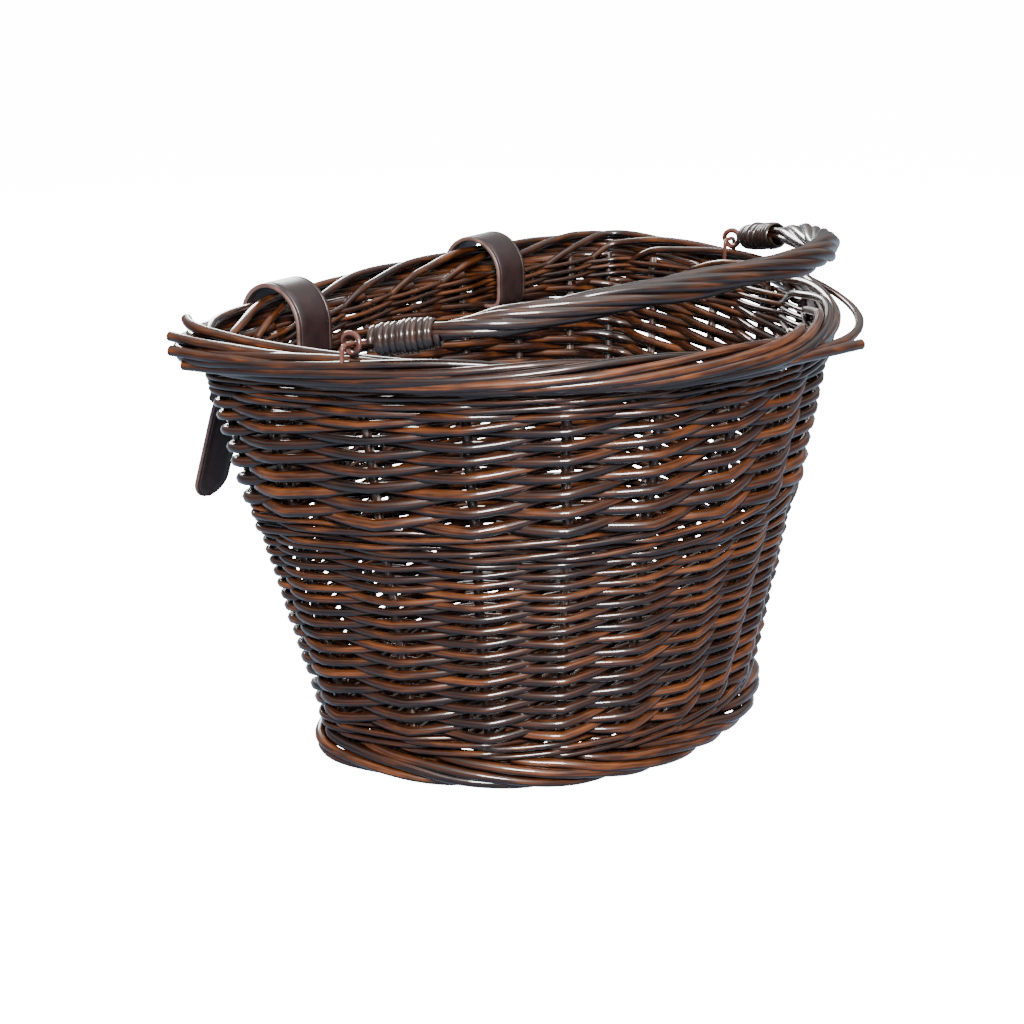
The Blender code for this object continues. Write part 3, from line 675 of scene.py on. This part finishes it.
def make_whipping(side, material):
    """Wind a split rod tightly round one end of the bow."""
    near, direction = bound_end(side)
    across = np.cross(direction, (0.0, 0.0, 1.0))
    count = WHIPPING_TURNS * 24
    share = np.linspace(0.0, 1.0, count)
    angle = math.tau * WHIPPING_TURNS * share
    spoke = across * np.cos(angle)[:, None] + np.array((0.0, 0.0, 1.0)) * np.sin(angle)[:, None]
    barrel = WHIPPING_RADIUS * (1.0 - 0.1 * (2 * share - 1) ** 2) - WHIPPING_ROD_SINK
    barrel = barrel + wander(count, 17, 0.00025)
    start = WHIPPING_MARGIN - WHIPPING_OVERHANG
    place = start + (WHIPPING_LENGTH - 2 * WHIPPING_MARGIN) * share + wander(count, 13, 0.00045)
    line = near + direction * place[:, None] + spoke * barrel[:, None]
    rods = RodMesh()
    rods.add(handle_place(line), rod_width(count, WHIPPING_ROD_RADIUS, 9), handle_vectors(spoke), flat=0.72)
    label = "left" if side < 0 else "right"
    rods.build(f"whipping_{label}", material, "handle", [f"handle_whipping_{label}"])


def make_ring(side, material):
    """Bend the ring at the end of the bow from a thin rod, with its shank inside the whipping."""
    label = "left" if side < 0 else "right"
    centre = np.array((side * PIVOT_X, -RING_LEAD, 0.0))
    near, direction = bound_end(side)
    count = 60
    angle = np.linspace(0.0, math.tau * 1.04, count)
    spoke = np.column_stack((np.zeros(count), -np.cos(angle), np.sin(angle)))
    loop = centre + spoke * (RING_MEAN_RADIUS + wander(count, 9, 0.00015))[:, None]
    loop[:, 0] += 0.0006 * np.sin(angle * 2)
    rods = RodMesh(sides=10)
    rods.add(handle_place(loop), rod_width(count, RING_WIRE_RADIUS, 9), handle_vectors(spoke))
    start = centre + np.array((0.0, -RING_MEAN_RADIUS, 0.0))
    end = near + direction * RING_SHANK_REACH
    upright = handle_vectors([[0.0, 0.3, 1.0]])
    for turn in range(3):
        spread = RING_SHANK_SPREAD * np.array((math.cos(turn * 2.1), 0.0, math.sin(turn * 2.1)))
        line = np.linspace(start, end + spread, 14)
        rods.add(handle_place(line), rod_width(14, RING_SHANK_RADIUS, 5), upright)
    rods.build(f"ring_{label}", material, "handle", [f"handle_ring_{label}"])


def make_staple(side, material):
    """Bend the staple that the ring hangs on; its legs go down into the border."""
    label = "left" if side < 0 else "right"
    x, y, z = joint("handle_swing")["pos_m"]
    x += side * PIVOT_X
    angle = np.linspace(math.pi, 0.0, 17)
    bend = np.column_stack((STAPLE_HALF_WIDTH * np.sign(np.cos(angle)) * np.abs(np.cos(angle)) ** 0.6,
                            np.zeros(len(angle)), STAPLE_CROWN * (np.sin(angle) ** 0.6 - 1)))
    foot = np.array((0.0, 0.0, -STAPLE_LEG))
    line = np.concatenate(([bend[0] + foot], bend, [bend[-1] + foot])) + np.array((x, y, z))
    rods = RodMesh(sides=10)
    rods.add(line, STAPLE_WIRE_RADIUS, (0, 1, 0))
    rods.build(f"staple_{label}_rod", material, "basket", [f"staple_{label}"])


# ---------------- leather

def arc(centre, first, second, degrees):
    """Return points of an ellipse round a centre; the half-axes point to 0 and to 90 degrees."""
    points = []
    for angle in np.radians(degrees):
        points.append(centre + first * math.cos(angle) + second * math.sin(angle))
    return points


def run_point(along, outwards):
    """Return a place on the strap's outer run: distance down it and distance out from its middle."""
    down = (TAIL_HINGE - SEAT_END).normalized()
    out = Vector((0.0, -down.z, down.y))
    return SEAT_END + down * along + out * outwards


def strap_line():
    """Return the whole strap's centre line, evenly and finely spaced, from the buckle to the tail's tip."""
    up = Vector((0.0, 0.0, 1.0))
    back = Vector((0.0, 1.0, 0.0))
    heel = run_point(HEEL_BAR_ALONG, HEEL_BAR_OUT)
    curl = BUCKLE_WIRE_RADIUS + GAP + STRAP_THICKNESS / 2
    path = arc(heel, back * curl, up * curl, range(-15, -171, -12))
    path += [Vector((0.0, 0.054, 0.2085)), Vector((0.0, 0.040, 0.2142))]
    path.append(Vector((0.0, 0.028, WEAVE_SLOT_Z)))
    bend = Vector((0.0, INNER_RUN_Y + INNER_BEND, WEAVE_SLOT_Z + INNER_BEND))
    path += arc(bend, back * INNER_BEND, up * INNER_BEND, range(-90, -181, -15))
    half_loop = (SEAT_TOP.y - INNER_RUN_Y) / 2
    crest = Vector((0.0, INNER_RUN_Y + half_loop, CREST_BASE_Z))
    path += arc(crest, back * half_loop, up * (CREST_Z - CREST_BASE_Z), range(180, 14, -7))
    path += [SEAT_TOP, SEAT_END, TAIL_HINGE, TAIL_TIP]
    line = np.array([(point.y, point.z) for point in path])
    line = even_points(line, 420, False)
    return averaged(line, 6, False)


def ribbon(name, centre, across, half_width, thin, closed, material):
    """Make a leather strap: rounded edges and a crease pressed beside each edge, on both faces.

    half_width holds the half width that each inset leaves at every point of the centre line.
    """
    along = np.gradient(centre, axis=0)
    if closed:
        along = np.roll(centre, -1, axis=0) - np.roll(centre, 1, axis=0)
    normal = np.cross(across, along)
    normal /= np.linalg.norm(normal, axis=1)[:, None]
    travelled = np.append(0.0, np.cumsum(np.linalg.norm(np.diff(centre, axis=0), axis=1)))
    last = len(EDGE_INSETS) - 1
    order = [(index, -1, 1) for index in range(last + 1)]
    order += [(index, 1, 1) for index in range(last, -1, -1)]
    order += [(index, 1, -1) for index in range(1, last + 1)]
    order += [(index, -1, -1) for index in range(last, 0, -1)]
    points, grain, inset = [], [], []
    for index, side, face in order:
        reach = side * half_width[index][:, None]
        height = face * EDGE_HEIGHTS[index] * thin
        points.append(centre + across * reach + normal * height)
        grain.append(np.column_stack((travelled, reach[:, 0], np.full(len(centre), height))))
        inset.append(np.full(len(centre), EDGE_INSETS[index] * 1000))
    rows = np.arange(len(order)) * len(centre)
    after = np.roll(rows, -1)
    steps = np.arange(len(centre) if closed else len(centre) - 1)[:, None]
    following = (steps + 1) % len(centre)
    quads = np.stack((rows + steps, after + steps, after + following, rows + following), axis=-1)
    faces = quads.reshape(-1, 4).tolist()
    if not closed:
        faces += [rows[::-1].tolist(), (rows + len(centre) - 1).tolist()]
    return new_piece(name, np.concatenate(points), faces, 50, material,
                     {"grain": np.concatenate(grain), "inset": np.concatenate(inset)})


def cut_away(obj, cutter):
    """Cut a shape out of a piece and throw the cutter away."""
    boolean = obj.modifiers.new("cut", "BOOLEAN")
    boolean.operation = "DIFFERENCE"
    boolean.solver = "EXACT"
    boolean.object = cutter
    shape = obj.evaluated_get(bpy.context.evaluated_depsgraph_get())
    mesh = bpy.data.meshes.new_from_object(shape)
    obj.modifiers.clear()
    obj.data = mesh
    bpy.data.objects.remove(cutter)


def punch_holes(strap, x):
    """Punch the buckle holes in the tail, and the prong's openings round the heel bar."""
    down = TAIL_TIP - TAIL_HINGE
    tilt = math.atan2(down.y, -down.z)
    for number in range(HOLE_COUNT):
        place = TAIL_HINGE + down.normalized() * (FIRST_HOLE + HOLE_SPACING * number)
        bpy.ops.mesh.primitive_cylinder_add(vertices=24, radius=HOLE_RADIUS, depth=0.02,
                                            location=(x, place.y, place.z),
                                            rotation=(tilt + math.pi / 2, 0, 0))
        cut_away(strap, bpy.context.object)
    run = TAIL_HINGE - SEAT_END
    tilt = math.atan2(run.y, -run.z)
    for along, outwards, size in ((HEEL_BAR_ALONG, HEEL_BAR_OUT, FOLD_SLOT),
                                  (PRONG_HOLE_ALONG, 0.0, PRONG_HOLE)):
        place = run_point(along, outwards)
        bpy.ops.mesh.primitive_cube_add(size=1, location=(x, place.y, place.z), rotation=(tilt, 0, 0))
        box = bpy.context.object
        box.scale = size
        bpy.context.view_layer.update()
        cut_away(strap, box)


def make_strap(side, material):
    """Make one strap in a single run: curl at the buckle, loop over the rim, tail with a round tip."""
    label = "left" if side < 0 else "right"
    line = strap_line()
    half = STRAP_WIDTH / 2
    travelled = np.append(0.0, np.cumsum(np.linalg.norm(np.diff(line, axis=0), axis=1)))
    total = travelled[-1]
    places = np.concatenate((np.arange(0.0, total - half, 0.0008),
                             total - half * (1 - np.sin(np.radians(np.linspace(0, 90, 16))))))
    centre = np.column_stack((np.full(len(places), side * STRAP_X),
                              np.interp(places, travelled, line[:, 0]),
                              np.interp(places, travelled, line[:, 1])))
    into_tip = np.maximum(half - (total - places), 0.0)
    widths = []
    for inset in EDGE_INSETS:
        widths.append(np.sqrt(np.maximum((half - inset) ** 2 - into_tip ** 2, 1e-8)))
    across = np.array((1.0, 0.0, 0.0))
    strap = ribbon(f"leather_strap_{label}", centre, across, widths, STRAP_THICKNESS / 2, False, material)
    punch_holes(strap, side * STRAP_X)
    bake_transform(strap)
    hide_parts(f"strap_{label}", f"strap_tail_{label}")


def make_keeper(side, material):
    """Make the leather loop that slides on the strap."""
    label = "left" if side < 0 else "right"
    down = (TAIL_HINGE - SEAT_END).normalized()
    out = Vector((0.0, -down.z, down.y))
    middle = run_point(KEEPER_ALONG, 0.0) + Vector((side * STRAP_X, 0.0, 0.0))
    wide = STRAP_WIDTH / 2 + KEEPER_PLAY + KEEPER_WALL / 2
    high = STRAP_THICKNESS / 2 + KEEPER_PLAY + KEEPER_WALL / 2
    points = []
    for turn, (cross, lift) in enumerate(((1, 1), (-1, 1), (-1, -1), (1, -1))):
        for angle in np.radians(np.linspace(90 * turn, 90 * turn + 90, 6)):
            across = cross * (wide - KEEPER_CORNER) + KEEPER_CORNER * math.cos(angle)
            rise = lift * (high - KEEPER_CORNER) + KEEPER_CORNER * math.sin(angle)
            points.append(middle + Vector((across, 0.0, 0.0)) + out * rise)
    centre = np.array([tuple(point) for point in points])
    widths = [np.full(len(centre), max(KEEPER_HEIGHT / 2 - inset, 0.0002)) for inset in EDGE_INSETS]
    keeper = ribbon(f"leather_keeper_{label}", centre, np.array(down), widths, KEEPER_WALL / 2, True,
                    material)
    dress(keeper, f"keeper_{label}", [f"keeper_{label}"])


# ---------------- buckles

def make_buckle(side, material):
    """Make the wire buckle frame and its prong."""
    label = "left" if side < 0 else "right"
    shift = Vector((side * STRAP_X, 0.0, 0.0))
    heel = run_point(HEEL_BAR_ALONG, HEEL_BAR_OUT) + shift
    nose = run_point(NOSE_BAR_ALONG, NOSE_BAR_OUT) + shift
    wide = Vector((BUCKLE_HALF_WIDTH, 0.0, 0.0))
    forward = (nose - heel).normalized()
    out = Vector((0.0, forward.z, -forward.y))
    right = Vector((1.0, 0.0, 0.0))
    loop = [heel]
    for corner, arriving, leaving in ((heel + wide, right, forward), (nose + wide, forward, -right),
                                      (nose - wide, -right, -forward), (heel - wide, -forward, right)):
        centre = corner + (leaving - arriving) * BUCKLE_CORNER
        loop += arc(centre, -leaving * BUCKLE_CORNER, arriving * BUCKLE_CORNER, range(0, 91, 15))
    loop.append(heel)
    frame_rods = RodMesh(sides=16)
    frame_rods.add(loop, BUCKLE_WIRE_RADIUS, tuple(out))
    frame_rods.build(f"buckle_{label}_wire", material, f"buckle_{label}", [f"buckle_frame_{label}"])
    ride = BUCKLE_WIRE_RADIUS + GAP + PRONG_RADIUS
    ring = arc(heel, forward * ride, out * ride, range(0, 361, 15))
    tip = nose + forward * PRONG_OVERHANG + out * ride
    pin = [heel + forward * ride * 0.8]
    pin += [heel + (tip - heel) * share + out * 0.0006 * math.sin(math.pi * share)
            for share in np.linspace(0.15, 1.0, 14)]
    prong = RodMesh(sides=14)
    prong.add(ring, PRONG_RADIUS, (1, 0, 0))
    prong.add(pin, PRONG_RADIUS * np.linspace(1.0, 0.72, len(pin)), (1, 0, 0))
    prong.build(f"prong_{label}_wire", material, f"prong_{label}", [f"prong_{label}"])


# ---------------- materials

def shader_tree(name):
    """Make a node material and return it with its tree and its Principled shader."""
    material = bpy.data.materials.new(name)
    material.use_nodes = True
    tree = material.node_tree
    return material, tree, tree.nodes["Principled BSDF"]


def noise(tree, vector, scale, detail=3.0, roughness=0.5):
    """Add a noise texture."""
    node = tree.nodes.new("ShaderNodeTexNoise")
    node.inputs["Scale"].default_value = scale
    node.inputs["Detail"].default_value = detail
    node.inputs["Roughness"].default_value = roughness
    tree.links.new(vector, node.inputs["Vector"])
    return node.outputs["Fac"]


def ramp(tree, value, stops):
    """Add a colour ramp through (position, colour) stops."""
    node = tree.nodes.new("ShaderNodeValToRGB")
    while len(node.color_ramp.elements) < len(stops):
        node.color_ramp.elements.new(0.5)
    for element, (position, colour) in zip(node.color_ramp.elements, stops):
        element.position = position
        element.color = (*colour, 1.0)
    tree.links.new(value, node.inputs["Fac"])
    return node.outputs["Color"]


def attribute(tree, name):
    """Read a named attribute of the mesh."""
    node = tree.nodes.new("ShaderNodeAttribute")
    node.attribute_name = name
    return node


def calculate(tree, operation, first, second):
    """Add a maths node; second is a socket or a number."""
    node = tree.nodes.new("ShaderNodeMath")
    node.operation = operation
    tree.links.new(first, node.inputs[0])
    if isinstance(second, (int, float)):
        node.inputs[1].default_value = second
    else:
        tree.links.new(second, node.inputs[1])
    return node.outputs[0]


def stretched(tree, vector, scale):
    """Scale a vector by three factors."""
    node = tree.nodes.new("ShaderNodeVectorMath")
    node.operation = "MULTIPLY"
    node.inputs[1].default_value = scale
    tree.links.new(vector, node.inputs[0])
    return node.outputs["Vector"]


def spread_range(tree, value, start, end, low=0.0, high=1.0):
    """Map values from start to end onto low to high, and hold them there beyond."""
    node = tree.nodes.new("ShaderNodeMapRange")
    node.inputs["From Min"].default_value = start
    node.inputs["From Max"].default_value = end
    node.inputs["To Min"].default_value = low
    node.inputs["To Max"].default_value = high
    tree.links.new(value, node.inputs["Value"])
    return node.outputs["Result"]


def mix_colours(tree, factor, first, second):
    """Mix two colours; factor 0 gives the first."""
    node = tree.nodes.new("ShaderNodeMix")
    node.data_type = "RGBA"
    tree.links.new(factor, node.inputs["Factor"])
    tree.links.new(first, node.inputs["A"])
    tree.links.new(second, node.inputs["B"])
    return node.outputs["Result"]


def height_of(tree, vector):
    """Return a vector's Z."""
    split = tree.nodes.new("ShaderNodeSeparateXYZ")
    tree.links.new(vector, split.inputs["Vector"])
    return split.outputs["Z"]


def painted_light_mask(tree):
    """Return the mask for painted shade and painted light: 0 where a surface of the piece at rest faces down
    and 1 where it faces up.
    """
    normal = tree.nodes.new("ShaderNodeTexCoord").outputs["Normal"]
    return spread_range(tree, height_of(tree, normal), -0.70, -0.05)


def add_bump(tree, shader, height, strength, distance):
    """Emboss the shader with a height."""
    bump = tree.nodes.new("ShaderNodeBump")
    bump.inputs["Strength"].default_value = strength
    bump.inputs["Distance"].default_value = distance
    tree.links.new(height, bump.inputs["Height"])
    tree.links.new(bump.outputs["Normal"], shader.inputs["Normal"])


def willow_material(name, stops, roughness):
    """Stained and varnished willow: grain along each rod, each rod its own tone, painted shade on its
    underside and painted light on its top.
    """
    material, tree, shader = shader_tree(name)
    tone = attribute(tree, "tone").outputs["Fac"]
    shift = tree.nodes.new("ShaderNodeVectorMath")
    shift.operation = "ADD"
    tree.links.new(attribute(tree, "grain").outputs["Vector"], shift.inputs[0])
    spread = tree.nodes.new("ShaderNodeCombineXYZ")
    tree.links.new(calculate(tree, "MULTIPLY", tone, 7.0), spread.inputs["X"])
    tree.links.new(spread.outputs["Vector"], shift.inputs[1])
    grain = shift.outputs["Vector"]
    fibres = noise(tree, stretched(tree, grain, (60.0, 900.0, 900.0)), 1.0, 3.0)
    patches = noise(tree, stretched(tree, grain, (45.0, 120.0, 120.0)), 1.0, 2.0)
    mixed = calculate(tree, "MULTIPLY", fibres, 0.30)
    mixed = calculate(tree, "ADD", mixed, calculate(tree, "MULTIPLY", patches, 0.30))
    mixed = calculate(tree, "ADD", mixed, calculate(tree, "MULTIPLY", tone, 0.12))
    # Painted shade and light: each rod is darker where it faces down and lighter where it faces up.
    mixed = calculate(tree, "ADD", mixed, calculate(tree, "MULTIPLY", painted_light_mask(tree), 0.34))
    tree.links.new(ramp(tree, mixed, stops), shader.inputs["Base Color"])
    shader.inputs["Roughness"].default_value = roughness
    shader.inputs["Specular IOR Level"].default_value = 0.2
    shader.inputs["Coat Weight"].default_value = 0.9
    shader.inputs["Coat IOR"].default_value = 1.42
    shader.inputs["Coat Roughness"].default_value = 0.08
    add_bump(tree, shader, fibres, 0.25, 0.0004)
    return material


def leather_material():
    """Smooth dark brown leather with a fine pebble, bare pinkish edges and pale creases.

    The inset attribute holds the distance from the strap's edge in millimetres.
    """
    material, tree, shader = shader_tree("brown_leather")
    grain = attribute(tree, "grain").outputs["Vector"]
    inset = attribute(tree, "inset").outputs["Fac"]
    pebble = noise(tree, grain, 2600.0, 2.0)
    shade = noise(tree, grain, 120.0, 3.0)
    face = ramp(tree, shade, ((0.3, (0.010, 0.0046, 0.0044)), (0.7, (0.019, 0.0092, 0.0088))))
    edge = ramp(tree, shade, ((0.3, (0.07, 0.034, 0.028)), (0.7, (0.14, 0.08, 0.065))))
    bare_edge = spread_range(tree, inset, 0.95, 0.5)
    off_crease = calculate(tree, "ABSOLUTE", calculate(tree, "SUBTRACT", inset, CREASE_INSET), 0.0)
    crease = spread_range(tree, off_crease, 0.28, 0.05, 0.0, 0.6)
    worn = calculate(tree, "MAXIMUM", bare_edge, crease)
    tree.links.new(mix_colours(tree, worn, face, edge), shader.inputs["Base Color"])
    shader.inputs["Roughness"].default_value = 0.42
    add_bump(tree, shader, pebble, 0.18, 0.0002)
    return material


def steel_material():
    """Nickel plated wire with faint dulling."""
    material, tree, shader = shader_tree("nickel_plated_steel")
    place = tree.nodes.new("ShaderNodeTexCoord").outputs["Object"]
    dulling = noise(tree, place, 400.0, 3.0)
    tint = ramp(tree, dulling, ((0.3, (0.55, 0.53, 0.50)), (0.7, (0.72, 0.70, 0.67))))
    tree.links.new(tint, shader.inputs["Base Color"])
    tree.links.new(spread_range(tree, dulling, 0.0, 1.0, 0.16, 0.36), shader.inputs["Roughness"])
    shader.inputs["Metallic"].default_value = 1.0
    return material


def floor_material():
    """A plain pale floor with faint mottling, which throws little light back up at the basket."""
    material, tree, shader = shader_tree("pale_floor")
    place = tree.nodes.new("ShaderNodeTexCoord").outputs["Object"]
    mottle = noise(tree, place, 3.0)
    pale = ramp(tree, mottle, ((0.0, (0.88, 0.88, 0.89)), (1.0, (0.92, 0.92, 0.92))))
    dim = ramp(tree, mottle, ((0.0, (0.16, 0.19, 0.25)), (1.0, (0.18, 0.21, 0.27))))
    seen = tree.nodes.new("ShaderNodeLightPath").outputs["Is Camera Ray"]
    tree.links.new(mix_colours(tree, seen, dim, pale), shader.inputs["Base Color"])
    shader.inputs["Roughness"].default_value = 0.9
    tree.links.new(pale, shader.inputs["Emission Color"])
    tree.links.new(calculate(tree, "MULTIPLY", seen, FLOOR_GLOW), shader.inputs["Emission Strength"])
    return material


# ---------------- studio

def add_softbox(name, place, size, power):
    """Add a square area light that looks at the basket."""
    light = bpy.data.lights.new(name, "AREA")
    light.shape = "SQUARE"
    light.size = size
    light.energy = power
    obj = bpy.data.objects.new(name, light)
    obj.location = place
    obj.rotation_euler = (Vector(LIGHT_TARGET) - Vector(place)).to_track_quat("-Z", "Y").to_euler()
    bpy.context.scene.collection.objects.link(obj)


def studio_world():
    """A white backdrop for the camera; for light and reflections, bright above and dim at the sides."""
    world = bpy.data.worlds.new("studio")
    world.use_nodes = True
    tree = world.node_tree
    background = tree.nodes["Background"]
    background.inputs["Strength"].default_value = WORLD_STRENGTH
    incoming = tree.nodes.new("ShaderNodeTexCoord").outputs["Generated"]
    sky = spread_range(tree, height_of(tree, incoming), 0.15, 0.85, 0.12, 0.58)
    seen = tree.nodes.new("ShaderNodeLightPath").outputs["Is Camera Ray"]
    backdrop = calculate(tree, "MULTIPLY", seen, BACKDROP)
    shade = calculate(tree, "MAXIMUM", sky, backdrop)
    tree.links.new(shade, background.inputs["Color"])
    return world


def make_studio():
    """Light the basket softly on a pale floor."""
    bpy.ops.mesh.primitive_plane_add(size=60)
    floor = bpy.context.object
    floor.name = "floor"
    floor.data.materials.append(floor_material())
    bpy.context.scene.world = studio_world()
    for softbox in SOFTBOXES:
        add_softbox(*softbox)


def make_camera():
    """Put the camera in front of the basket's left corner, a little above the rim."""
    camera = bpy.data.cameras.new("camera")
    camera.lens = CAMERA_LENS
    camera.sensor_width = 36.0
    obj = bpy.data.objects.new("camera", camera)
    bpy.context.scene.collection.objects.link(obj)
    back = -CAMERA_FORWARD.normalized()
    right = CAMERA_UP.cross(back).normalized()
    up = back.cross(right)
    turn = Matrix((right, up, back)).transposed()
    obj.matrix_world = Matrix.Translation(CAMERA_PLACE) @ turn.to_4x4()
    bpy.context.scene.camera = obj


# ---------------- assembly

WILLOW = willow_material("stained_willow", WILLOW_STOPS, 0.36)
STAKE = willow_material("stake_willow", STAKE_STOPS, 0.40)
BARK = willow_material("bark", BARK_STOPS, 0.45)
WEAVE = willow_material("woven_willow", WEAVE_STOPS, 0.34)
BINDING = willow_material("split_willow", BINDING_STOPS, 0.42)
LEATHER = leather_material()
STEEL = steel_material()

make_stakes(STAKE)
make_wale("upsett_wale", FOOT_TOP, UPSETT_TOP, 2, 1.4, WEAVE)
make_rand("lower_rand", UPSETT_TOP, LOWER_RAND_TOP, 14, 0.62, 0.62, WEAVE)
make_wale("middle_wale", LOWER_RAND_TOP, MIDDLE_WALE_TOP, 2, 1.0, WEAVE)
make_rand("upper_rand", MIDDLE_WALE_TOP, UPPER_RAND_TOP, 7, 0.67, 0.64, WEAVE)
make_wale("top_wale", UPPER_RAND_TOP, WALL_TOP + 0.0045, 3, 1.4, WEAVE)
make_rim_border(WEAVE)
make_foot_border(WEAVE)
make_base(WILLOW, WEAVE)
make_bow(WILLOW)
for hand in (-1, 1):
    make_whipping(hand, BINDING)
    make_ring(hand, BARK)
    make_staple(hand, BARK)
    make_strap(hand, LEATHER)
    make_keeper(hand, LEATHER)
    make_buckle(hand, STEEL)
make_studio()
make_camera()
